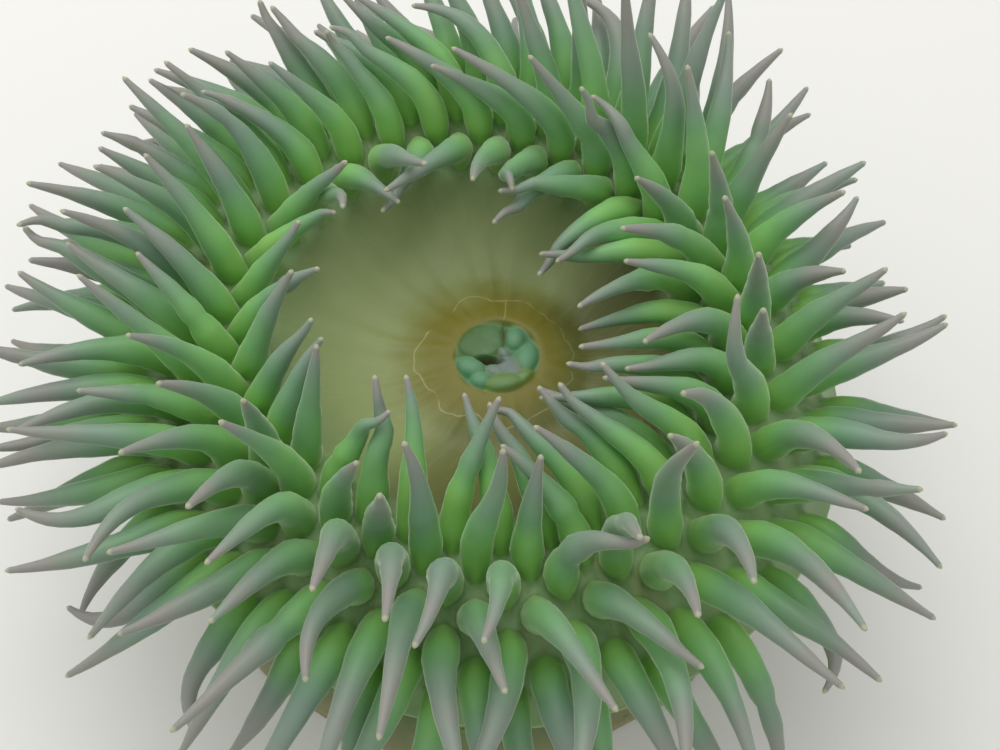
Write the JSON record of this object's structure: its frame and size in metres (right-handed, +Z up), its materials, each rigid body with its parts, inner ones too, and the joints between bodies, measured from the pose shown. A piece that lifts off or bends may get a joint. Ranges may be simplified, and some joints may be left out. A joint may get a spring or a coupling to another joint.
{
  "type": "giant green sea anemone",
  "caption": "Giant green sea anemone, life size and still: a broad foot, a short column, a shallow disc with a lobed mouth, and crowded rows of tapering tentacles round it.",
  "frame": {"origin": "centre of the foot's flat underside, on the floor", "axes": "+Z up out of the mouth; -Y is the front; +X is to the right seen from the front"},
  "size_m": [0.2332, 0.2368, 0.1392],
  "materials": {
    "column_skin": "moist satin, olive green with paler warts",
    "disc_skin": "moist satin, olive with fine radial lines and an ochre ring round the mouth",
    "lip_skin": "wet gloss, turquoise to leaf green lobes",
    "throat_skin": "wet gloss, lavender grey folds",
    "tentacle_skin": "moist satin, bright green at the roots to mauve grey tips"
  },
  "bodies": {
    "root": {"foot": "column_skin", "column": "column_skin", "collar": "column_skin", "oral_disc": "disc_skin", "lips": "lip_skin", "throat": "throat_skin", "tentacle_sector_01": "tentacle_skin", "tentacle_sector_02": "tentacle_skin", "tentacle_sector_03": "tentacle_skin", "tentacle_sector_04": "tentacle_skin", "tentacle_sector_05": "tentacle_skin", "tentacle_sector_06": "tentacle_skin", "tentacle_sector_07": "tentacle_skin", "tentacle_sector_08": "tentacle_skin", "tentacle_sector_09": "tentacle_skin", "tentacle_sector_10": "tentacle_skin", "tentacle_sector_11": "tentacle_skin", "tentacle_sector_12": "tentacle_skin", "tentacle_sector_13": "tentacle_skin", "tentacle_sector_14": "tentacle_skin", "tentacle_sector_15": "tentacle_skin", "tentacle_sector_16": "tentacle_skin", "tentacle_sector_17": "tentacle_skin"}
  },
  "joints": []
}
